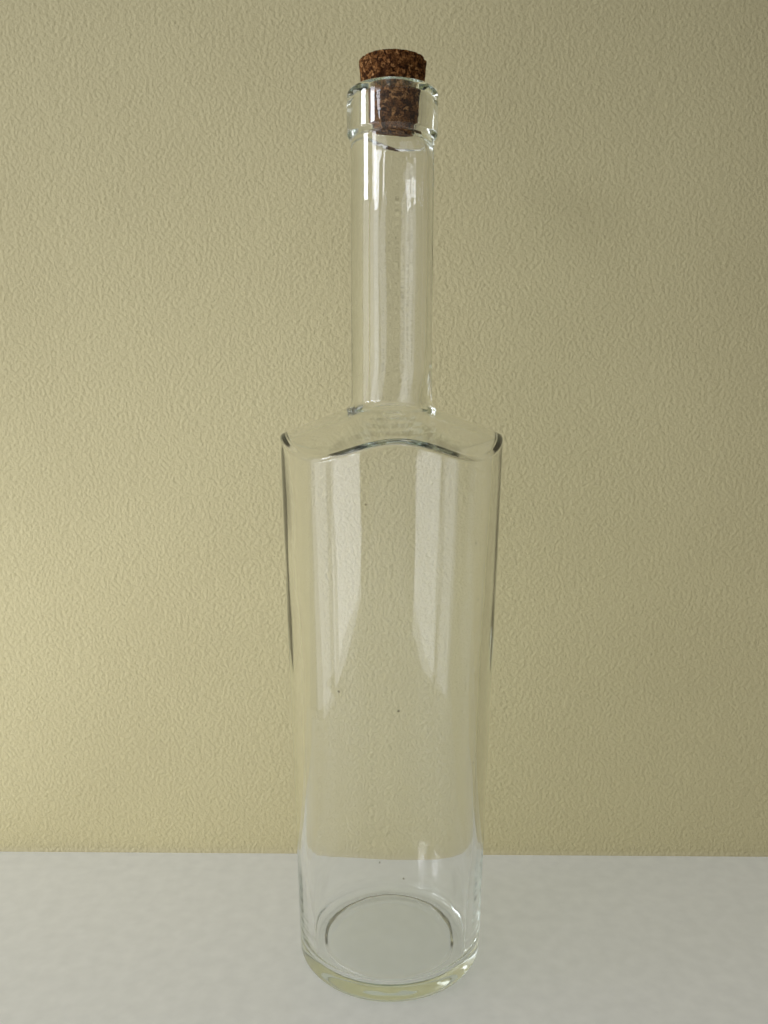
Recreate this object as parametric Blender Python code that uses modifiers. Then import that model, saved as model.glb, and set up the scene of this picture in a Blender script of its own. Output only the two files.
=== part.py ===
# Glass decanter with a cork stopper
#
# A tall round bottle of clear pressed-and-blown glass, closed by a tapered cork.
# The body widens slowly from the base to a crease, and the crease rises and falls
# four times on its way round. Above it straight lines run up to a long slim neck,
# which ends in a thick collar.
# Units are metres. The axis of the bottle is Z, it stands on Z = 0, and one crest
# of the crease faces -Y.

import math

import bmesh
import bpy
from mathutils import Vector

MM = 0.001

# Driving dimensions of the outside of the glass
LIP_TOP = 306.0 * MM
COLLAR_RADIUS = 15.15 * MM
COLLAR_BOTTOM = 292.2 * MM
NECK_TOP = 290.4 * MM
NECK_RADIUS = 13.9 * MM
NECK_FOOT = 202.9 * MM
CREASE_HEIGHT = 193.1 * MM
CREASE_RADIUS = 38.65 * MM
HEEL_RADIUS = 33.6 * MM
BEARING_INNER = 27.5 * MM
PUSH_UP_SHOULDER = 20.0 * MM
PUSH_UP_RISE = 1.2 * MM
PUSH_UP = 1.8 * MM
LIP_ROUNDING = 1.5 * MM
COLLAR_ROUNDING = 1.4 * MM
NECK_TOP_ROUNDING = 1.6 * MM
NECK_FOOT_ROUNDING = 3.2 * MM
CREASE_ROUNDING = 1.6 * MM
HEEL_ROUNDING = 3.6 * MM
BEARING_ROUNDING = 1.0 * MM
PUSH_UP_ROUNDING = 30.0 * MM

# Driving dimensions of the inside of the glass
BORE_RADIUS = 9.9 * MM
BORE_TOP = 289.4 * MM
BORE_FOOT = 200.8 * MM
THROAT_RADIUS = 8.9 * MM
THROAT_TOP = 304.0 * MM
THROAT_FOOT = 293.0 * MM
MOUTH_RADIUS = 10.95 * MM
SHOULDER_WALL = 2.3 * MM
BODY_WALL = 2.4 * MM
HOLLOW_WAIST = 110.0 * MM
HOLLOW_WAIST_RADIUS = 32.0 * MM
HOLLOW_LOW = 42.0 * MM
HOLLOW_LOW_RADIUS = 30.8 * MM
FLOOR_RADIUS = 29.3 * MM
FLOOR_EDGE = 4.4 * MM
FLOOR_CENTRE = 6.6 * MM
FLOOR_MID_RADIUS = 20.5 * MM
FLOOR_MID = 6.0 * MM
FLOOR_ROUNDING = 60.0 * MM
FLOOR_CORNER = 4.0 * MM
HOLLOW_LOW_ROUNDING = 600.0 * MM
HOLLOW_WAIST_ROUNDING = 900.0 * MM
HOLLOW_TOP_ROUNDING = 1.3 * MM
BORE_FOOT_ROUNDING = 6.5 * MM
BORE_TOP_ROUNDING = 3.0 * MM
THROAT_ROUNDING = 0.8 * MM
MOUTH_EDGE_ROUNDING = 0.7 * MM

# The bore of the neck lies to one side, between these heights
BORE_SHIFT = 1.2 * MM
SHIFT_FOOT = 205.0 * MM
SHIFT_FULL = 216.0 * MM
SHIFT_EASE = 286.0 * MM
SHIFT_TOP = 292.0 * MM

# The wave of the crease: four crests and four dips round the bottle
WAVES = 4
DIP = 6.2 * MM
SETTLE_TOP = 180.0 * MM
SETTLE_FOOT = 150.0 * MM

# Driving dimensions of the cork
CORK_TOP = 315.4 * MM
CORK_TOP_RADIUS = 11.3 * MM
CORK_LIP_RADIUS = 10.4 * MM
CORK_SEAT = 303.7 * MM
CORK_SEAT_RADIUS = 8.5 * MM
CORK_BOTTOM = 294.3 * MM
CORK_BOTTOM_RADIUS = 8.3 * MM
CORK_UNEVEN = 0.12 * MM
CORK_RIPPLES = (3, 5, 8)
CHIP_ANGLE = math.radians(56.0)
CHIP_WIDTH = math.radians(28.0)
CHIP_HEIGHT = 3.0 * MM
CHIP_DEPTH = 1.6 * MM
CORK_EDGE_ROUNDING = 0.5 * MM
CORK_SEAT_ROUNDING = 1.0 * MM

# Fineness of the turned shapes
GLASS_SIDES = 64
CORK_SIDES = 48
ARC_STEP = math.radians(18.0)
SHARP_ANGLE = math.radians(35.0)
MERGE_DISTANCE = 0.01 * MM


def clear_scene():
    """Start from an empty file."""
    for leftover in list(bpy.data.objects):
        bpy.data.objects.remove(leftover, do_unlink=True)


def make_collection(name):
    """A collection for the parts of the decanter."""
    collection = bpy.data.collections.new(name)
    bpy.context.scene.collection.children.link(collection)
    return collection


def make_material(name, colour, roughness, transmission=0.0, ior=1.45):
    """A Principled material for one sub-part."""
    material = bpy.data.materials.new(name)
    material.use_nodes = True
    shader = material.node_tree.nodes["Principled BSDF"]
    shader.inputs["Base Color"].default_value = (*colour, 1.0)
    shader.inputs["Roughness"].default_value = roughness
    shader.inputs["Metallic"].default_value = 0.0
    shader.inputs["Transmission Weight"].default_value = transmission
    shader.inputs["IOR"].default_value = ior
    return material


def arc_at(before, corner, after, radius):
    """Points of the arc that rounds one corner of an outline."""
    back = (before - corner).normalized()
    ahead = (after - corner).normalized()
    half_angle = back.angle(ahead) / 2
    reach = radius / math.tan(half_angle)
    centre = corner + (back + ahead).normalized() * (radius / math.sin(half_angle))
    first = corner + back * reach - centre
    last = corner + ahead * reach - centre
    sweep = first.angle(last)
    steps = max(1, math.ceil(sweep / ARC_STEP))
    points = []
    for step in range(steps + 1):
        share = step / steps
        spoke = first * math.sin((1 - share) * sweep) + last * math.sin(share * sweep)
        points.append(centre + spoke / math.sin(sweep))
    return points


def rounded_outline(corners):
    """An outline through (radius, height, rounding) corners, as points in the XZ plane."""
    places = [Vector((radius, 0.0, height)) for radius, height, _ in corners]
    outline = [places[0]]
    for index in range(1, len(corners) - 1):
        rounding = corners[index][2]
        if rounding:
            outline += arc_at(places[index - 1], places[index], places[index + 1], rounding)
        else:
            outline.append(places[index])
    outline.append(places[-1])
    return outline


def turn(name, outline, sides):
    """Turn an outline round Z with a Screw modifier, and return the closed mesh."""
    profile = bpy.data.meshes.new(name + "_profile")
    edges = [(index, index + 1) for index in range(len(outline) - 1)]
    profile.from_pydata(outline, edges, [])
    blank = bpy.data.objects.new(name + "_blank", profile)
    bpy.context.scene.collection.objects.link(blank)
    screw = blank.modifiers.new("Turn", "SCREW")
    screw.axis = "Z"
    screw.angle = 2 * math.pi
    screw.steps = sides
    screw.render_steps = sides
    screw.use_merge_vertices = True
    screw.merge_threshold = MERGE_DISTANCE
    depsgraph = bpy.context.evaluated_depsgraph_get()
    turned = bpy.data.meshes.new_from_object(blank.evaluated_get(depsgraph))
    turned.name = name
    bpy.data.objects.remove(blank, do_unlink=True)
    bpy.data.meshes.remove(profile)
    close_seams(turned)
    return turned


def close_seams(mesh):
    """Join the points that the turning left double on the axis."""
    shape = bmesh.new()
    shape.from_mesh(mesh)
    bmesh.ops.remove_doubles(shape, verts=shape.verts, dist=MERGE_DISTANCE)
    shape.to_mesh(mesh)
    shape.free()


def finish_part(name, mesh, material, collection):
    """Make the object of one sub-part, with its material and smooth round faces."""
    part = bpy.data.objects.new(name, mesh)
    mesh.materials.clear()
    mesh.materials.append(material)
    mesh.shade_smooth()
    mesh.set_sharp_from_angle(angle=SHARP_ANGLE)
    collection.objects.link(part)
    return part


def glass_outside():
    """Corners of the outside, from the lip down to the middle of the underside."""
    return [
        (COLLAR_RADIUS, LIP_TOP, LIP_ROUNDING),
        (COLLAR_RADIUS, COLLAR_BOTTOM, COLLAR_ROUNDING),
        (NECK_RADIUS, NECK_TOP, NECK_TOP_ROUNDING),
        (NECK_RADIUS, NECK_FOOT, NECK_FOOT_ROUNDING),
        (CREASE_RADIUS, CREASE_HEIGHT, CREASE_ROUNDING),
        (CREASE_RADIUS - TAPER * (CREASE_HEIGHT - SETTLE_FOOT), SETTLE_FOOT, 0.0),
        (HEEL_RADIUS, 0.0, HEEL_ROUNDING),
        (BEARING_INNER, 0.0, BEARING_ROUNDING),
        (PUSH_UP_SHOULDER, PUSH_UP_RISE, PUSH_UP_ROUNDING),
        (0.0, PUSH_UP, 0.0),
    ]


def glass_inside():
    """Corners of the inside, from the middle of the floor up to the mouth."""
    under_crease = HOLLOW_TOP_RADIUS, shoulder_height(HOLLOW_TOP_RADIUS) - SHOULDER_DROP
    return [
        (0.0, FLOOR_CENTRE, 0.0),
        (FLOOR_MID_RADIUS, FLOOR_MID, FLOOR_ROUNDING),
        (FLOOR_RADIUS, FLOOR_EDGE, FLOOR_CORNER),
        (HOLLOW_LOW_RADIUS, HOLLOW_LOW, HOLLOW_LOW_ROUNDING),
        (HOLLOW_WAIST_RADIUS, HOLLOW_WAIST, HOLLOW_WAIST_ROUNDING),
        (*under_crease, HOLLOW_TOP_ROUNDING),
        (BORE_RADIUS, BORE_FOOT, BORE_FOOT_ROUNDING),
        (BORE_RADIUS, SHIFT_FULL, 0.0),
        (BORE_RADIUS, SHIFT_EASE, 0.0),
        (BORE_RADIUS, BORE_TOP, BORE_TOP_ROUNDING),
        (THROAT_RADIUS, THROAT_FOOT, BORE_TOP_ROUNDING),
        (THROAT_RADIUS, THROAT_TOP, THROAT_ROUNDING),
        (MOUTH_RADIUS, LIP_TOP, MOUTH_EDGE_ROUNDING),
    ]


# How fast the outside of the body grows with height, and how the shoulder slopes
TAPER = (CREASE_RADIUS - HEEL_RADIUS) / CREASE_HEIGHT
SHOULDER_SLOPE = math.atan((NECK_FOOT - CREASE_HEIGHT) / (CREASE_RADIUS - NECK_RADIUS))
SHOULDER_DROP = SHOULDER_WALL / math.cos(SHOULDER_SLOPE)
HOLLOW_TOP_RADIUS = CREASE_RADIUS - BODY_WALL


def shoulder_height(radius):
    """Height of the outside of the shoulder at a radius, before the crease is wavy."""
    return CREASE_HEIGHT + (CREASE_RADIUS - radius) * math.tan(SHOULDER_SLOPE)


def shift_bore(place):
    """Move a point of the bore to one side by its share of the shift."""
    if math.hypot(place.x, place.y) > BORE_RADIUS + MERGE_DISTANCE:
        return place.copy()
    rise = (place.z - SHIFT_FOOT) / (SHIFT_FULL - SHIFT_FOOT)
    fall = (SHIFT_TOP - place.z) / (SHIFT_TOP - SHIFT_EASE)
    share = min(1.0, max(0.0, min(rise, fall)))
    return place + Vector((BORE_SHIFT * share, 0.0, 0.0))


def crease_drop(angle):
    """How far the crease lies below its crests, at an angle measured from a crest."""
    return DIP * (1 - math.cos(WAVES * angle)) / 2


def settle(place):
    """Lower a point of the turned glass by its share of the wave.

    The share grows in proportion to the radius, so that the lines from the neck to
    the crease stay straight, and it fades out down the body, whose points slide
    along the taper.
    """
    radius = math.hypot(place.x, place.y)
    angle = math.atan2(place.x, -place.y)
    by_radius = (radius - NECK_RADIUS) / (CREASE_RADIUS - NECK_RADIUS)
    by_height = (place.z - SETTLE_FOOT) / (SETTLE_TOP - SETTLE_FOOT)
    share = min(1.0, max(0.0, by_radius)) * min(1.0, max(0.0, by_height))
    drop = crease_drop(angle) * share
    if drop == 0.0:
        return place.copy()
    narrower = (radius - TAPER * drop) / radius
    return Vector((place.x * narrower, place.y * narrower, place.z - drop))


def make_bottle(collection):
    """The bottle: one solid of glass, hollow and open at the mouth."""
    outline = rounded_outline(glass_inside() + glass_outside())
    mesh = turn("bottle", outline, GLASS_SIDES)
    for vertex in mesh.vertices:
        vertex.co = shift_bore(settle(vertex.co))
    glass = make_material("clear_glass", (0.93, 0.96, 0.94), 0.02, transmission=1.0, ior=1.52)
    return finish_part("bottle", mesh, glass, collection)


def cork_corners():
    """Corners of the cork, from the middle of its top to the middle of its bottom."""
    return [
        (0.0, CORK_TOP, 0.0),
        (CORK_TOP_RADIUS, CORK_TOP, CORK_EDGE_ROUNDING),
        (CORK_LIP_RADIUS, LIP_TOP, 0.0),
        (CORK_SEAT_RADIUS, CORK_SEAT, CORK_SEAT_ROUNDING),
        (CORK_BOTTOM_RADIUS, CORK_BOTTOM + CHIP_HEIGHT, 0.0),
        (CORK_BOTTOM_RADIUS, CORK_BOTTOM, CORK_EDGE_ROUNDING),
        (0.0, CORK_BOTTOM, 0.0),
    ]


def wear(place):
    """Make the side of the cork a little uneven, and chip its lower edge at one place."""
    radius = math.hypot(place.x, place.y)
    if radius < MERGE_DISTANCE:
        return place.copy()
    angle = math.atan2(place.x, -place.y)
    ripple = sum(math.sin(count * angle + count) for count in CORK_RIPPLES)
    uneven = CORK_UNEVEN * ripple / len(CORK_RIPPLES)
    off_centre = abs(angle - CHIP_ANGLE) / CHIP_WIDTH
    above = (place.z - CORK_BOTTOM) / CHIP_HEIGHT
    chip = CHIP_DEPTH * max(0.0, 1 - off_centre) * max(0.0, 1 - above)
    wider = (radius + uneven - chip) / radius
    return Vector((place.x * wider, place.y * wider, place.z))


def make_cork(collection):
    """The cork: one tapered plug, seated in the mouth with a fine gap all round."""
    mesh = turn("cork", rounded_outline(cork_corners()), CORK_SIDES)
    for vertex in mesh.vertices:
        vertex.co = wear(vertex.co)
    cork = make_material("cork", (0.13, 0.055, 0.022), 0.85)
    return finish_part("cork", mesh, cork, collection)


def main():
    clear_scene()
    decanter = make_collection("glass_decanter")
    make_bottle(decanter)
    make_cork(decanter)


main()
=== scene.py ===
# %% [markdown]
# # A glass decanter with a cork
#
# A tall round bottle of clear glass, with a wavy crease round its shoulder, a long slim neck and a dark
# cork. The lesson goes from the outside in: first the frame that everything has to fit, then the camera,
# the table and the light, because glass shows nothing but what is round it, and then the glass and the cork
# themselves.

# %% Load the frame
import math

import bmesh
import bpy
from mathutils import Matrix, Vector, noise


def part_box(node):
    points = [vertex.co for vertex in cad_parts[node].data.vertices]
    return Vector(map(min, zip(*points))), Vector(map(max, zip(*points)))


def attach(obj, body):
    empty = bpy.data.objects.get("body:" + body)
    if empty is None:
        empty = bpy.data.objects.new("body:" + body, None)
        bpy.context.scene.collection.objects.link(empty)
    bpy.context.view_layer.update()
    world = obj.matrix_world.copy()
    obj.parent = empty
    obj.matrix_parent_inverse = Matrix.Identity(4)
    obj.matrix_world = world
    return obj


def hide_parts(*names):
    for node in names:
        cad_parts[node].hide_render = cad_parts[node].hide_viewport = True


MM = 0.001

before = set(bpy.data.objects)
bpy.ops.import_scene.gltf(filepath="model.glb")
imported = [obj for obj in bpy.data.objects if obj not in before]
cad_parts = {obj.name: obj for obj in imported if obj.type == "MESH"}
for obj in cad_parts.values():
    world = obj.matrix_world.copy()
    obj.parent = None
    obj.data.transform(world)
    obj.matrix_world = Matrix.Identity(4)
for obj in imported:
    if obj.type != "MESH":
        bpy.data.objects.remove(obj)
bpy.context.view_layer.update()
glass_low, glass_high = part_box("bottle")
cork_low, cork_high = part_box("cork")

# %% [markdown]
# ## Camera
#
# The picture was taken from close by, at the height of the foot of the neck and 8 degrees down, so the
# mouth is seen from below and the base from well above. A close camera is part of the look: a long lens
# from further away would flatten both. The lens is given by its focal length in pixels of the picture, and
# the place by its distance and height.

# %% Camera
FRAME_HEIGHT_PX = 1024
FRAME_WIDTH_PX = 768
FOCAL_PX = 840.0
SENSOR = 36.0
CAMERA_DISTANCE = 294.5 * MM
CAMERA_HEIGHT = 206.0 * MM
CAMERA_PITCH = math.radians(7.8)
CAMERA_ROLL = math.radians(0.12)
VIEW_TURN = math.radians(3.0)       # the camera stands this far to the left of the front crest
AXIS_PX = 391.3                     # where the axis of the bottle crosses the picture

view_frame = Matrix.Rotation(-VIEW_TURN, 4, "Z")


def make_camera():
    """A close camera that looks slightly down, turned so that the axis lies right of the middle."""
    data = bpy.data.cameras.new("camera")
    data.sensor_fit = "AUTO"
    data.sensor_width = SENSOR
    data.lens = FOCAL_PX / FRAME_HEIGHT_PX * SENSOR
    camera = bpy.data.objects.new("camera", data)
    bpy.context.scene.collection.objects.link(camera)
    aside = math.atan((AXIS_PX - FRAME_WIDTH_PX / 2) / FOCAL_PX)
    turn = Matrix.Rotation(aside, 4, "Z") @ Matrix.Rotation(math.pi / 2 - CAMERA_PITCH, 4, "X")
    place = Matrix.Translation((0, -CAMERA_DISTANCE, CAMERA_HEIGHT))
    camera.matrix_world = view_frame @ place @ turn @ Matrix.Rotation(CAMERA_ROLL, 4, "Z")
    bpy.context.scene.camera = camera
    return camera


camera = make_camera()
print("camera at, mm:", [round(v / MM, 1) for v in camera.matrix_world.translation])

# %% [markdown]
# ## Helpers for materials
#
# Every finish here is a small node tree on a Principled shader. Three helpers keep the trees readable: one
# makes a material and sets the plain values of its shader, one adds a node and links its inputs by name,
# and one adds a colour ramp with its stops.


# %% Helpers for materials
def make_material(name, **values):
    """A Principled material whose plain values are set on the shader's own sockets."""
    material = bpy.data.materials.new(name)
    material.use_nodes = True
    shader = material.node_tree.nodes["Principled BSDF"]
    for label, value in values.items():
        shader.inputs[label.replace("_", " ")].default_value = value
    return material, shader


def add_node(material, kind, settings=None, **links):
    """Add a node; links and plain values of its inputs are given by their names."""
    tree = material.node_tree
    node = tree.nodes.new(kind)
    for label, value in (settings or {}).items():
        setattr(node, label, value)
    for label, value in links.items():
        socket = node.inputs[label.replace("_", " ")]
        if isinstance(value, bpy.types.NodeSocket):
            tree.links.new(value, socket)
        else:
            socket.default_value = value
    return node


def add_ramp(material, factor, stops):
    """A colour ramp over a factor, from (place, red, green, blue) stops."""
    node = add_node(material, "ShaderNodeValToRGB", Fac=factor)
    elements = node.color_ramp.elements
    while len(elements) < len(stops):
        elements.new(0.5)
    for element, (place, *colour) in zip(elements, stops):
        element.position = place
        element.color = (*colour, 1)
    return node.outputs["Color"]


# %% [markdown]
# ## Table and wall
#
# The bottle stands on a pale table, 65 mm in front of a plain wall. Glass takes all its colour from such
# surroundings: the line between wall and table bends inside the body, and that bend is what shows how thick
# the wall of the glass is. The table ends a little to the left of the bottle, and its edge is mirrored in
# the glass too. The wall's colour carries painted shade that darkens it to the right and above, where less
# daylight reaches a real wall. The wall can only be seen from its front, so that the bottle can be looked
# at from behind.

# %% Table and wall
WALL_BEHIND = 65.0 * MM
WALL_WIDTH = 2400 * MM
TABLE_LEFT = -265 * MM
TABLE_RIGHT = 1200 * MM
WALL_HEIGHT = 1600 * MM
WALL_FOOT = -60 * MM
TABLE_DEPTH = 1600 * MM
TABLE_TOP = -0.1 * MM
TABLE_GAP = 2.0 * MM
TABLE_MOTTLE_SCALE = 180.0
TABLE_WHITES = ((0.3, 0.82, 0.84, 0.85), (0.7, 0.88, 0.90, 0.91))
WALL_GRAIN_SCALE = 700.0
WALL_GRAIN_DEPTH = 0.6 * MM
WALL_CLOUD_SCALE = 9.0
WALL_PAINTS = ((0.3, 0.77, 0.69, 0.405), (0.7, 0.83, 0.75, 0.445))
# Painted shade: the wall's colour is darkened to the right and above, in place of daylight that falls off.
WALL_PAINTED_SHADE_SPAN_X = (0.0, 0.17)           # from where to where painted shade darkens the paint, in metres
WALL_PAINTED_SHADE_LEVELS_X = (1.0, 0.80)
WALL_PAINTED_SHADE_SPAN_Z = (0.12, 0.36)
WALL_PAINTED_SHADE_LEVELS_Z = (1.0, 0.69)


def make_sheet(name, width, height, place, material):
    """A flat rectangle from a one-cell grid, moved to its place and marked as stage."""
    shape = bmesh.new()
    bmesh.ops.create_grid(shape, x_segments=1, y_segments=1, size=0.5)
    bmesh.ops.scale(shape, vec=(width, height, 1), verts=shape.verts)
    bmesh.ops.transform(shape, matrix=view_frame @ place, verts=shape.verts)
    mesh = bpy.data.meshes.new(name)
    shape.to_mesh(mesh)
    shape.free()
    sheet = bpy.data.objects.new(name, mesh)
    sheet.data.materials.append(material)
    bpy.context.scene.collection.objects.link(sheet)
    return sheet


def table_finish():
    """Satin white paint with a faint mottling."""
    material, shader = make_material("table_white", Roughness=0.5)
    place = add_node(material, "ShaderNodeTexCoord").outputs["Object"]
    mottle = add_node(material, "ShaderNodeTexNoise", Vector=place, Scale=TABLE_MOTTLE_SCALE, Detail=5.0)
    tint = add_ramp(material, mottle.outputs["Fac"], TABLE_WHITES)
    material.node_tree.links.new(tint, shader.inputs["Base Color"])
    return material


def fade(material, value, places, shades):
    """A value that goes from one shade to another between two places."""
    node = add_node(material, "ShaderNodeMapRange", Value=value)
    for label, number in zip(("From Min", "From Max", "To Min", "To Max"), (*places, *shades)):
        node.inputs[label].default_value = number
    return node.outputs["Result"]


def wall_finish():
    """Painted plaster with a fine grain and painted shade, darker to the right and above, which is clear
    from behind.
    """
    material, shader = make_material("wall_paint_and_painted_shade", Roughness=0.85)
    place = add_node(material, "ShaderNodeTexCoord").outputs["Object"]
    grain = add_node(material, "ShaderNodeTexNoise", Vector=place, Scale=WALL_GRAIN_SCALE, Detail=3.0)
    grains = grain.outputs["Fac"]
    bump = add_node(material, "ShaderNodeBump", Height=grains, Strength=1.0, Distance=WALL_GRAIN_DEPTH)
    cloud = add_node(material, "ShaderNodeTexNoise", Vector=place, Scale=WALL_CLOUD_SCALE, Detail=4.0)
    paint = add_ramp(material, cloud.outputs["Fac"], WALL_PAINTS)
    spot = add_node(material, "ShaderNodeSeparateXYZ", Vector=place)
    # Painted shade: the paint colour is scaled darker to the right and towards the top, in place of less
    # daylight there.
    painted_shade_rightwards = fade(material, spot.outputs["X"], WALL_PAINTED_SHADE_SPAN_X, WALL_PAINTED_SHADE_LEVELS_X)
    painted_shade_upwards = fade(material, spot.outputs["Z"], WALL_PAINTED_SHADE_SPAN_Z, WALL_PAINTED_SHADE_LEVELS_Z)
    shade_right_node = add_node(material, "ShaderNodeVectorMath", {"operation": "SCALE"}, Scale=painted_shade_rightwards)
    shade_up_node = add_node(material, "ShaderNodeVectorMath", {"operation": "SCALE"}, Scale=painted_shade_upwards)
    links = material.node_tree.links
    links.new(paint, shade_right_node.inputs[0])
    links.new(shade_right_node.outputs["Vector"], shade_up_node.inputs[0])
    links.new(shade_up_node.outputs["Vector"], shader.inputs["Base Color"])
    links.new(bump.outputs["Normal"], shader.inputs["Normal"])
    side = add_node(material, "ShaderNodeNewGeometry").outputs["Backfacing"]
    clear = add_node(material, "ShaderNodeBsdfTransparent")
    choice = add_node(material, "ShaderNodeMixShader", Fac=side)
    links.new(shader.outputs["BSDF"], choice.inputs[1])
    links.new(clear.outputs["BSDF"], choice.inputs[2])
    output = material.node_tree.nodes["Material Output"]
    links.new(choice.outputs["Shader"], output.inputs["Surface"])
    return material


table_middle = ((TABLE_LEFT + TABLE_RIGHT) / 2, WALL_BEHIND - TABLE_GAP - TABLE_DEPTH / 2, TABLE_TOP)
table_place = Matrix.Translation(table_middle)
make_sheet("table", TABLE_RIGHT - TABLE_LEFT, TABLE_DEPTH, table_place, table_finish())
wall_place = Matrix.Translation((0, WALL_BEHIND, WALL_FOOT + WALL_HEIGHT / 2))
wall_place = wall_place @ Matrix.Rotation(math.pi / 2, 4, "X")
make_sheet("wall", WALL_WIDTH, WALL_HEIGHT, wall_place, wall_finish())
print("wall behind the axis, mm:", round(WALL_BEHIND / MM, 1))

# %% [markdown]
# ## Light
#
# The room has one tall window to the left and a little in front of the bottle, with a bar between its
# panes. It makes the bright bands down the neck and the body, and the white patch on the collar. One lamp
# could light the room as well, but glass mirrors the shape of what lights it, so each pane is a stack of
# upright rectangles of light that fill the right angles as seen from the axis: wide at the bottom, narrower
# above, and bright where the sky is. The window goes on below the table, which ends to the left of the
# bottle: its edge cuts the bright bands off in the lower body. A dim panel overhead stands for the ceiling,
# and a surrounding that grows darker from left to right stands for the room.

# %% Light
WINDOW_DISTANCE = 1300 * MM
LOW_PANES = ((-31, -63, 1.0), (-68, -88, 0.6))    # from and to, in degrees from the camera, and strength
HIGH_PANES = ((-37, -62, 1.0), (-68, -87, 0.8))
SKY_PANES = ((-45, -56, 0.9), (-70, -84, 1.6))
LOW_HEIGHTS = (-600 * MM, 200 * MM)
HIGH_HEIGHTS = (200 * MM, 558 * MM)
SKY_HEIGHTS = (558 * MM, 770 * MM)
LOW_RADIANCE = 2.1
HIGH_RADIANCE = 1.9
SKY_RADIANCE = 11.0
WINDOW_COLOUR = (0.97, 1.0, 1.09)
CEILING_HEIGHT = 1100 * MM
CEILING_SIZE = 1500 * MM
CEILING_RADIANCE = 0.40
CEILING_COLOUR = (1.0, 0.98, 0.93)
ROOM_LIGHT = ((0.0, 0.42, 0.41, 0.38), (0.5, 0.19, 0.18, 0.155), (1.0, 0.09, 0.085, 0.07))


def make_panel(name, width, height, radiance, colour, place):
    """A rectangle of light of one radiance, which the camera itself does not see."""
    data = bpy.data.lights.new(name, "AREA")
    data.shape = "RECTANGLE"
    data.size = width
    data.size_y = height
    data.energy = radiance * math.pi * width * height
    data.color = colour
    light = bpy.data.objects.new(name, data)
    bpy.context.scene.collection.objects.link(light)
    light.matrix_world = place
    light.visible_camera = False
    return light


def make_pane(name, pane, distance, heights, radiance):
    """An upright panel that faces the axis and fills one pane of the window, seen from there."""
    first, last, strength = pane
    width = 2 * distance * math.tan(math.radians(abs(last - first)) / 2)
    azimuth = math.radians((first + last) / 2)
    outward = view_frame.to_3x3() @ Vector((math.sin(azimuth), -math.cos(azimuth), 0))
    middle = outward * distance + Vector((0, 0, sum(heights) / 2))
    place = Matrix.Translation(middle) @ outward.to_track_quat("Z", "Y").to_matrix().to_4x4()
    return make_panel(name, width, heights[1] - heights[0], strength * radiance, WINDOW_COLOUR, place)


for pane in LOW_PANES:
    make_pane("window_low", pane, WINDOW_DISTANCE, LOW_HEIGHTS, LOW_RADIANCE)
for pane in HIGH_PANES:
    make_pane("window_high", pane, WINDOW_DISTANCE, HIGH_HEIGHTS, HIGH_RADIANCE)
for pane in SKY_PANES:
    make_pane("window_sky", pane, WINDOW_DISTANCE, SKY_HEIGHTS, SKY_RADIANCE)
overhead = Matrix.Translation((0, WALL_BEHIND - CEILING_SIZE / 2, CEILING_HEIGHT))
make_panel("ceiling", CEILING_SIZE, CEILING_SIZE, CEILING_RADIANCE, CEILING_COLOUR, overhead)

scene = bpy.context.scene
scene.world = bpy.data.worlds.new("room")
scene.world.use_nodes = True
room = scene.world.node_tree.nodes["Background"]
direction = add_node(scene.world, "ShaderNodeTexCoord").outputs["Generated"]
across = add_node(scene.world, "ShaderNodeSeparateXYZ", Vector=direction).outputs["X"]
shade = add_node(scene.world, "ShaderNodeMapRange", Value=across, From_Min=-1.0, From_Max=1.0)
room_colour = add_ramp(scene.world, shade.outputs["Result"], ROOM_LIGHT)
scene.world.node_tree.links.new(room_colour, room.inputs["Color"])

# %% [markdown]
# ## How far light is followed
#
# Light that has gone into the wall of a bottle is thrown back and forth in it before it comes out, above
# all in the thick heel. With the usual few bounces those places turn black, so the limits for all bounces
# and for glossy, transmitted and transparent ones are raised to 24.
# The pale patches that glass throws on a table would need far more samples, so they are left out.

# %% How far light is followed
BOUNCES = 24
scene.view_settings.view_transform = "Standard"
scene.cycles.use_denoising = True
scene.cycles.caustics_refractive = False
scene.cycles.caustics_reflective = False
scene.cycles.max_bounces = BOUNCES
scene.cycles.transmission_bounces = BOUNCES
scene.cycles.glossy_bounces = BOUNCES
scene.cycles.transparent_max_bounces = BOUNCES
print("bounces:", BOUNCES)

# %% [markdown]
# ## The outline of the glass
#
# A bottle is turned: one outline, spun round the axis, gives inside and outside at once. The outline here
# is a chain of straight stretches with a rounding at each corner, which is how a mould maker draws it. It
# starts in the middle of the floor, climbs the inside, goes over the lip, and comes down the outside to the
# middle of the base. The roundings could be points typed in by hand, but each is an arc that touches both
# stretches, so a few lines work it out from one radius. The wall under the shoulder follows the outside at
# an even distance.

# %% The outline of the glass
LIP_TOP = glass_high.z
COLLAR_RADIUS = 15.15 * MM
COLLAR_BOTTOM = 292.2 * MM
NECK_TOP = 290.4 * MM
NECK_RADIUS = 13.9 * MM
NECK_FOOT = 202.9 * MM
CREASE_HEIGHT = 193.1 * MM
CREASE_RADIUS = 38.65 * MM
HEEL_RADIUS = 33.6 * MM
BORE_RADIUS = 9.9 * MM
SHOULDER_WALL = 2.3 * MM
HOLLOW_TOP_RADIUS = 36.25 * MM
SHOULDER_SLOPE = math.atan((NECK_FOOT - CREASE_HEIGHT) / (CREASE_RADIUS - NECK_RADIUS))


def shoulder_height(radius):
    """Height of the outside of the shoulder at a radius, while the crease is still level."""
    return CREASE_HEIGHT + (CREASE_RADIUS - radius) * math.tan(SHOULDER_SLOPE)


HOLLOW_TOP = shoulder_height(HOLLOW_TOP_RADIUS) - SHOULDER_WALL / math.cos(SHOULDER_SLOPE)

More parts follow.
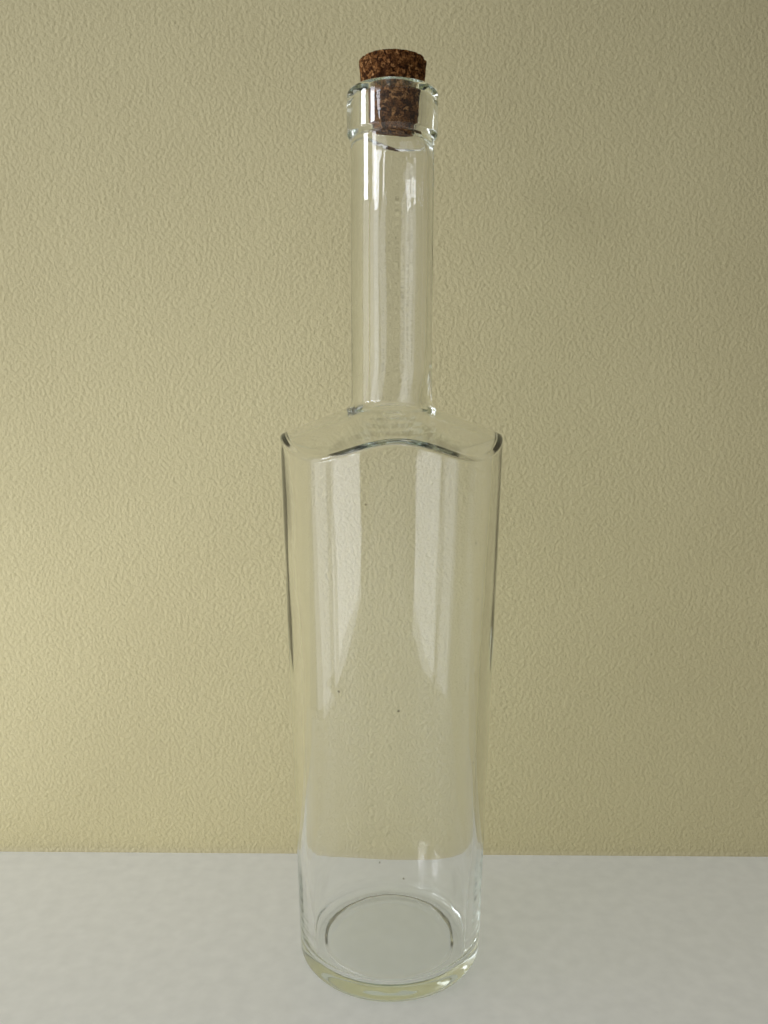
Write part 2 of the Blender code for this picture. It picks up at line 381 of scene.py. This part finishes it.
# Each corner: radius, height, radius of its rounding, all in mm
INSIDE = [
    (0.0, 6.6, 0.0),
    (20.5, 6.0, 60.0),
    (29.3, 4.4, 4.0),
    (30.8, 42.0, 600.0),
    (32.0, 110.0, 900.0),
    (HOLLOW_TOP_RADIUS / MM, HOLLOW_TOP / MM, 1.3),
    (BORE_RADIUS / MM, 200.8, 6.5),
    (BORE_RADIUS / MM, 289.4, 3.0),
    (8.9, 293.0, 3.0),
    (8.9, 304.0, 0.8),
    (10.95, LIP_TOP / MM, 0.7),
]
OUTSIDE = [
    (COLLAR_RADIUS / MM, LIP_TOP / MM, 1.5),
    (COLLAR_RADIUS / MM, COLLAR_BOTTOM / MM, 1.4),
    (NECK_RADIUS / MM, NECK_TOP / MM, 1.6),
    (NECK_RADIUS / MM, NECK_FOOT / MM, 3.2),
    (CREASE_RADIUS / MM, CREASE_HEIGHT / MM, 1.6),
    (HEEL_RADIUS / MM, 0.0, 3.6),
    (27.5, 0.0, 1.0),
    (20.0, 1.2, 30.0),
    (0.0, 1.8, 0.0),
]
ARC_STEP = math.radians(5.0)


def round_corner(before, corner, after, radius):
    """Points of the arc that touches both stretches at a corner."""
    back = (before - corner).normalized()
    ahead = (after - corner).normalized()
    half_angle = back.angle(ahead) / 2
    reach = radius / math.tan(half_angle)
    centre = corner + (back + ahead).normalized() * (radius / math.sin(half_angle))
    first = corner + back * reach - centre
    last = corner + ahead * reach - centre
    sweep = first.angle(last)
    steps = max(2, math.ceil(sweep / ARC_STEP))
    arc = []
    for step in range(steps + 1):
        share = step / steps
        spoke = first * math.sin((1 - share) * sweep) + last * math.sin(share * sweep)
        arc.append(centre + spoke / math.sin(sweep))
    return arc


def rounded_outline(corners):
    """The whole outline in the XZ plane, in metres."""
    places = [Vector((radius, 0, height)) * MM for radius, height, _ in corners]
    outline = [places[0]]
    for index in range(1, len(corners) - 1):
        rounding = corners[index][2] * MM
        outline += round_corner(places[index - 1], places[index], places[index + 1], rounding)
    outline.append(places[-1])
    return outline


outline = rounded_outline(INSIDE + OUTSIDE)
print("outline:", len(outline), "points")

# %% [markdown]
# ## Turning
#
# The same helper turns bottle and cork. Long straight stretches are divided first, because later steps bend
# them, and the seam and the points on the axis are merged, so that each piece is one closed skin. Spinning
# an outline gives cleaner rings than starting from a cylinder and pushing its rings in and out.


# %% Turning
MERGE = 0.005 * MM


def spin_outline(outline, steps, longest):
    """Spin an outline round Z into a closed shape, with no ring wider than the longest stretch."""
    shape = bmesh.new()
    chain = [shape.verts.new(place) for place in outline]
    for one, other in zip(chain, chain[1:]):
        shape.edges.new((one, other))
    for edge in [edge for edge in shape.edges if edge.calc_length() > longest]:
        cuts = math.ceil(edge.calc_length() / longest) - 1
        bmesh.ops.subdivide_edges(shape, edges=[edge], cuts=cuts)
    bmesh.ops.spin(
        shape,
        geom=shape.verts[:] + shape.edges[:],
        cent=(0, 0, 0),
        axis=(0, 0, 1),
        dvec=(0, 0, 0),
        angle=2 * math.pi,
        steps=steps,
        use_merge=True,
        use_duplicate=False,
    )
    bmesh.ops.remove_doubles(shape, verts=shape.verts, dist=MERGE)
    bmesh.ops.recalc_face_normals(shape, faces=shape.faces)
    return shape


def finish_piece(name, shape, material):
    """Put a finished bmesh into the scene as a smooth object, with its place in its mesh."""
    mesh = bpy.data.meshes.new(name)
    for face in shape.faces:
        face.smooth = True
    shape.to_mesh(mesh)
    shape.free()
    piece = bpy.data.objects.new(name, mesh)
    mesh.materials.append(material)
    bpy.context.scene.collection.objects.link(piece)
    print(name, "has", len(mesh.vertices), "vertices and", len(mesh.polygons), "faces")
    return piece


def share_between(value, low, high):
    """0 below low, 1 above high, and in proportion between them."""
    return min(1.0, max(0.0, (value - low) / (high - low)))


# %% [markdown]
# ## The wave of the crease
#
# The crease rises and falls four times round the bottle. Each point of the turned glass is lowered by its
# share of that wave: nothing at the neck, all of it at the crease, in proportion to the radius, so that the
# lines from neck to crease stay straight. Down the body the share fades out, and the points slide along the
# taper.

# %% The wave of the crease
WAVES = 4
DIP = 6.2 * MM
SETTLE_TOP = 180.0 * MM
SETTLE_FOOT = 150.0 * MM
TAPER = (CREASE_RADIUS - HEEL_RADIUS) / CREASE_HEIGHT


def settle(place):
    """The place of a point of the turned glass once the crease is wavy."""
    radius = math.hypot(place.x, place.y)
    if radius <= NECK_RADIUS:
        return place
    angle = math.atan2(place.x, -place.y)
    share = share_between(radius, NECK_RADIUS, CREASE_RADIUS)
    share *= share_between(place.z, SETTLE_FOOT, SETTLE_TOP)
    drop = share * DIP * (1 - math.cos(WAVES * angle)) / 2
    narrower = (radius - TAPER * drop) / radius
    return Vector((place.x * narrower, place.y * narrower, place.z - drop))


print("the crease is at", CREASE_HEIGHT / MM, "mm at its crests, and", DIP / MM, "mm lower in its dips")

# %% [markdown]
# ## The uneven inside
#
# A mould shapes only the outside of a bottle. The inside is left by air, so the wall swells and thins, and
# it keeps faint streaks along the way that the glass was drawn. Those are what bends the highlights and the
# view through the glass. A bump map would bend only the light at the surface, so the points themselves are
# moved, those of the inside alone, by a few tenths of a millimetre at most. In the neck the whole bore lies
# to one side.

# %% The uneven inside
SWELL = 0.22 * MM
SWELL_LENGTH = 34.0 * MM
SWELLS_AROUND = 1.4
STREAK = 0.030 * MM
STREAK_LENGTH = 110.0 * MM
STREAKS_AROUND = 9.0
KNOT_HEIGHT = 288.0 * MM
KNOT_SPREAD = 9.0 * MM
KNOT = 0.30 * MM
KNOT_LENGTH = 6.0 * MM
KNOTS_AROUND = 2
SKIN = (0.8 * MM, 1.6 * MM)
BORE_SHIFT = 1.2 * MM
SHIFT_RISE = (205.0 * MM, 216.0 * MM)
SHIFT_FALL = (286.0 * MM, 292.0 * MM)


def outer_radius(height):
    """Radius of the outside of the turned glass at a height, without its roundings."""
    if height > COLLAR_BOTTOM:
        return COLLAR_RADIUS
    if height > NECK_FOOT:
        return NECK_RADIUS
    if height > CREASE_HEIGHT:
        return CREASE_RADIUS - (height - CREASE_HEIGHT) / math.tan(SHOULDER_SLOPE)
    return HEEL_RADIUS + TAPER * height


def make_uneven(place):
    """The place of a point of the inside once the wall is uneven; points of the outside stay."""
    radius = math.hypot(place.x, place.y)
    inside = share_between(outer_radius(place.z) - radius, *SKIN)
    if radius < MERGE or inside == 0:
        return place
    around = Vector((place.x, place.y, 0)) / radius
    along = Vector((0, 0, place.z))
    swell = SWELL * noise.noise(around * SWELLS_AROUND + along / SWELL_LENGTH)
    streak = STREAK * noise.noise(around * STREAKS_AROUND + along / STREAK_LENGTH)
    nearness = max(0.0, 1 - abs(place.z - KNOT_HEIGHT) / KNOT_SPREAD)
    knot = KNOT * nearness * noise.noise(around * KNOTS_AROUND + along / KNOT_LENGTH)
    shift_share = share_between(place.z, *SHIFT_RISE) * (1 - share_between(place.z, *SHIFT_FALL))
    sideways = BORE_SHIFT * shift_share
    shifted = place + around * inside * (swell + streak + knot)
    return shifted + Vector((sideways, 0, 0)) if radius < BORE_RADIUS + SKIN[0] else shifted


print("the wall varies by", SWELL / MM, "mm, and the bore lies", BORE_SHIFT / MM, "mm to one side")

# %% [markdown]
# ## Clear glass
#
# White bottle glass is never quite white: a trace of iron makes it grey-green where one looks far through
# it, as in the heel and along the lip. That belongs in the volume, where it grows with the thickness, not
# in the colour of the surface. Light on its way to the table and the wall passes the glass with a small
# loss, so that both are nearly as bright behind and under the bottle as beside it. A faint film of dust
# makes the surface a trace rough in patches, a few dark specks sit on it, and the crease and the heel,
# which rub against other bottles, are scuffed.


# %% Clear glass
SCUFF_REACH = (0.8 * MM, 2.2 * MM)
SCUFF_PLACES = ((CREASE_RADIUS, CREASE_HEIGHT), (HEEL_RADIUS, 2.0 * MM))
SCUFF_ROUGHNESS = 0.16
FILM_SCALE = 45.0
FILM_PATCHES = (0.5, 0.8)
FILM_ROUGHNESS = (0.0, 0.03)
SPECK_SCALE = 50.0
SPECK_SHADES = ((0.012, 0.20, 0.17, 0.12), (0.030, 1.0, 1.0, 1.0))
BODY_COLOUR = (0.72, 0.84, 0.76, 1)
BODY_DENSITY = 9.0
PASSING_COLOUR = (0.95, 0.955, 0.95, 1)


def scuff_at(place):
    """How scuffed the turned glass is at a place: 1 on the crease and the heel, 0 a little away."""
    radius = math.hypot(place.x, place.y)
    gaps = [math.hypot(radius - worn_radius, place.z - height) for worn_radius, height in SCUFF_PLACES]
    return 1 - share_between(min(gaps), *SCUFF_REACH)


def glass_finish():
    """Clear glass with a faint grey-green body, a film of dust, specks and scuffs."""
    material, shader = make_material("clear_glass", IOR=1.52, Transmission_Weight=1.0)
    place = add_node(material, "ShaderNodeTexCoord").outputs["Object"]
    film = add_node(material, "ShaderNodeTexNoise", Vector=place, Scale=FILM_SCALE, Detail=4.0)
    rough = fade(material, film.outputs["Fac"], FILM_PATCHES, FILM_ROUGHNESS)
    scuff = add_node(material, "ShaderNodeAttribute", {"attribute_name": "scuff"}).outputs["Fac"]
    worn = add_node(material, "ShaderNodeMath", {"operation": "MULTIPLY_ADD"})
    worn.inputs[1].default_value = SCUFF_ROUGHNESS
    specks = add_node(material, "ShaderNodeTexVoronoi", Vector=place, Scale=SPECK_SCALE)
    tint = add_ramp(material, specks.outputs["Distance"], SPECK_SHADES)
    body = add_node(material, "ShaderNodeVolumeAbsorption", Color=BODY_COLOUR, Density=BODY_DENSITY)
    path = add_node(material, "ShaderNodeLightPath")
    lighting = add_node(material, "ShaderNodeMath", {"operation": "MAXIMUM"})
    through = add_node(material, "ShaderNodeBsdfTransparent", Color=PASSING_COLOUR)
    choice = add_node(material, "ShaderNodeMixShader", Fac=lighting.outputs["Value"])
    output = material.node_tree.nodes["Material Output"]
    links = material.node_tree.links
    links.new(path.outputs["Is Shadow Ray"], lighting.inputs[0])
    links.new(path.outputs["Is Diffuse Ray"], lighting.inputs[1])
    links.new(scuff, worn.inputs[0])
    links.new(rough, worn.inputs[2])
    links.new(worn.outputs["Value"], shader.inputs["Roughness"])
    links.new(tint, shader.inputs["Base Color"])
    links.new(shader.outputs["BSDF"], choice.inputs[1])
    links.new(through.outputs["BSDF"], choice.inputs[2])
    links.new(choice.outputs["Shader"], output.inputs["Surface"])
    links.new(body.outputs["Volume"], output.inputs["Volume"])
    return material


# %% [markdown]
# ## The bottle
#
# The outline is spun in 224 steps, fine enough that no facet shows in the highlights. Then each point is
# moved twice: first for the uneven inside, while the glass is still round, and then for the wave of the
# crease. How scuffed each point is goes into the mesh as an attribute, which the finish reads.

# %% The bottle
GLASS_STEPS = 224
GLASS_STRETCH = 2.5 * MM


def make_bottle(material):
    """The glass, as one closed wall that is open at the mouth."""
    shape = spin_outline(outline, GLASS_STEPS, GLASS_STRETCH)
    scuffs = [scuff_at(vertex.co) for vertex in shape.verts]
    for vertex in shape.verts:
        vertex.co = settle(make_uneven(vertex.co))
    piece = finish_piece("bottle_glass", shape, material)
    piece.data.attributes.new("scuff", "FLOAT", "POINT").data.foreach_set("value", scuffs)
    return piece


bottle = make_bottle(glass_finish())
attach(bottle, "root")
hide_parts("bottle")

# %% [markdown]
# ## The shape of the cork
#
# The stopper is cut from pressed cork: dark grains of one to two millimetres with furrows between them, and
# holes where grains have fallen out. It tapers, is squeezed narrower where it enters the throat, and has
# lost a chip from its lower edge. It could be left smooth under a bump map, but its edge stands against the
# bright wall, where only a real relief shows, so its skin is turned finely and then worn inwards.

# %% The shape of the cork
CORK_STEPS = 190
CORK_STRETCH = 0.38 * MM
CORK = [
    (0.0, cork_high.z / MM, 0.0),
    (11.25, cork_high.z / MM, 0.35),
    (10.4, LIP_TOP / MM, 1.0),
    (8.5, 303.7, 1.0),
    (8.3, cork_low.z / MM, 0.6),
    (0.0, cork_low.z / MM, 0.0),
]
GRAIN = 1.7 * MM
FURROW = 0.22 * MM
FURROW_WIDTH = 0.22
HOLE = 0.75 * MM
HOLE_SIZE = 2.3 * MM
HOLE_EDGES = (0.30, 0.62)
ROUGH = 0.10 * MM
ROUGH_SIZE = 0.7 * MM
CHIP_ANGLE = math.radians(56.0)
CHIP_WIDTH = math.radians(28.0)
CHIP_HEIGHT = 3.0 * MM
CHIP_DEPTH = 1.6 * MM
CHIP_RIM = (4 * MM, 8 * MM)


def worn_depth(place):
    """How far the skin of the cork is worn in at a place, by furrows, holes and roughness."""
    distances = noise.voronoi(place / GRAIN)[0]
    furrow = FURROW * (1 - share_between(distances[1] - distances[0], 0, FURROW_WIDTH))
    hole = HOLE * share_between(noise.noise(place / HOLE_SIZE), *HOLE_EDGES)
    rough = ROUGH * (0.5 + 0.5 * noise.noise(place / ROUGH_SIZE))
    return furrow + hole + rough


def chip_depth(place):
    """How far the skin is broken away at the lower edge, at the side of the chip."""
    angle = math.atan2(place.x, -place.y)
    off_centre = abs(angle - CHIP_ANGLE) / CHIP_WIDTH
    above = (place.z - cork_low.z) / CHIP_HEIGHT
    return CHIP_DEPTH * max(0.0, 1 - off_centre) * max(0.0, 1 - above)


def make_cork(material):
    """The stopper, turned and worn; the wear follows the skin, so that edges crumble both ways."""
    shape = spin_outline(rounded_outline(CORK), CORK_STEPS, CORK_STRETCH)
    shape.normal_update()
    inwards = [-vertex.normal for vertex in shape.verts]
    for vertex, inward in zip(shape.verts, inwards):
        flat = Vector((vertex.co.x, vertex.co.y, 0))
        broken = flat.normalized() * -chip_depth(vertex.co) if flat.length > MERGE else Vector()
        vertex.co += inward * worn_depth(vertex.co) + broken * share_between(flat.length, *CHIP_RIM)
    return finish_piece("cork_stopper", shape, material)


# %% [markdown]
# ## The finish of the cork
#
# Each grain has its own brown, from nearly black to tan. One cell pattern gives the colour of the grains;
# its cells are first pushed about, so that no straight border is left. A finer noise mottles each grain,
# and a second cell pattern sprinkles small dark pores. The surface is dry, so it hardly shines.


# %% The finish of the cork
GRAIN_SCALE = 880.0
PUSH_SCALE = 900.0
PUSH = 2.2 * MM
MOTTLE_SCALE = 2200.0
MOTTLE_DEPTH = 0.4 * MM
PORE_SCALE = 1100.0
GRAIN_BROWNS = (
    (0.18, 0.040, 0.014, 0.004),
    (0.45, 0.105, 0.043, 0.013),
    (0.65, 0.190, 0.082, 0.027),
    (0.88, 0.380, 0.200, 0.080),
)
MOTTLE_SHADES = ((0.36, 0.30, 0.27, 0.24), (0.52, 0.95, 0.92, 0.90), (0.66, 1.5, 1.5, 1.5))
PORE_SHADES = ((0.10, 0.15, 0.12, 0.10), (0.24, 1.0, 1.0, 1.0))


def multiply(material, one, other):
    """The product of two colours."""
    settings = {"data_type": "RGBA", "blend_type": "MULTIPLY"}
    node = add_node(material, "ShaderNodeMix", settings, Factor=1.0)
    material.node_tree.links.new(one, node.inputs[6])      # 6, 7 and 2 are the colour sockets of this node
    material.node_tree.links.new(other, node.inputs[7])
    return node.outputs[2]


def pushed_about(material, place, scale, push):
    """A place moved by a colour noise, so that a pattern over it gets ragged borders."""
    wobble = add_node(material, "ShaderNodeTexNoise", Vector=place, Scale=scale, Detail=4.0)
    centred = add_node(material, "ShaderNodeVectorMath", {"operation": "SUBTRACT"})
    centred.inputs[1].default_value = (0.5, 0.5, 0.5)
    material.node_tree.links.new(wobble.outputs["Color"], centred.inputs[0])
    scaled = add_node(material, "ShaderNodeVectorMath", {"operation": "SCALE"}, Scale=push)
    material.node_tree.links.new(centred.outputs["Vector"], scaled.inputs[0])
    moved = add_node(material, "ShaderNodeVectorMath", {"operation": "ADD"})
    material.node_tree.links.new(place, moved.inputs[0])
    material.node_tree.links.new(scaled.outputs["Vector"], moved.inputs[1])
    return moved.outputs["Vector"]


def cork_finish():
    """Pressed cork: ragged brown grains of many shades, with dark pores."""
    material, shader = make_material("cork", Roughness=0.95, Specular_IOR_Level=0.12)
    place = add_node(material, "ShaderNodeTexCoord").outputs["Object"]
    moved = pushed_about(material, place, PUSH_SCALE, PUSH)
    grains = add_node(material, "ShaderNodeTexVoronoi", Vector=moved, Scale=GRAIN_SCALE)
    browns = add_ramp(material, grains.outputs["Color"], GRAIN_BROWNS)
    mottle = add_node(material, "ShaderNodeTexNoise", Vector=place, Scale=MOTTLE_SCALE, Detail=4.0)
    height = mottle.outputs["Fac"]
    shades = add_ramp(material, height, MOTTLE_SHADES)
    cells = add_node(material, "ShaderNodeTexVoronoi", Vector=moved, Scale=PORE_SCALE)
    pores = add_ramp(material, cells.outputs["Distance"], PORE_SHADES)
    colour = multiply(material, multiply(material, browns, shades), pores)
    material.node_tree.links.new(colour, shader.inputs["Base Color"])
    relief = add_node(material, "ShaderNodeBump", Height=height, Strength=0.8, Distance=MOTTLE_DEPTH)
    material.node_tree.links.new(relief.outputs["Normal"], shader.inputs["Normal"])
    return material


cork = make_cork(cork_finish())
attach(cork, "root")
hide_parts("cork")
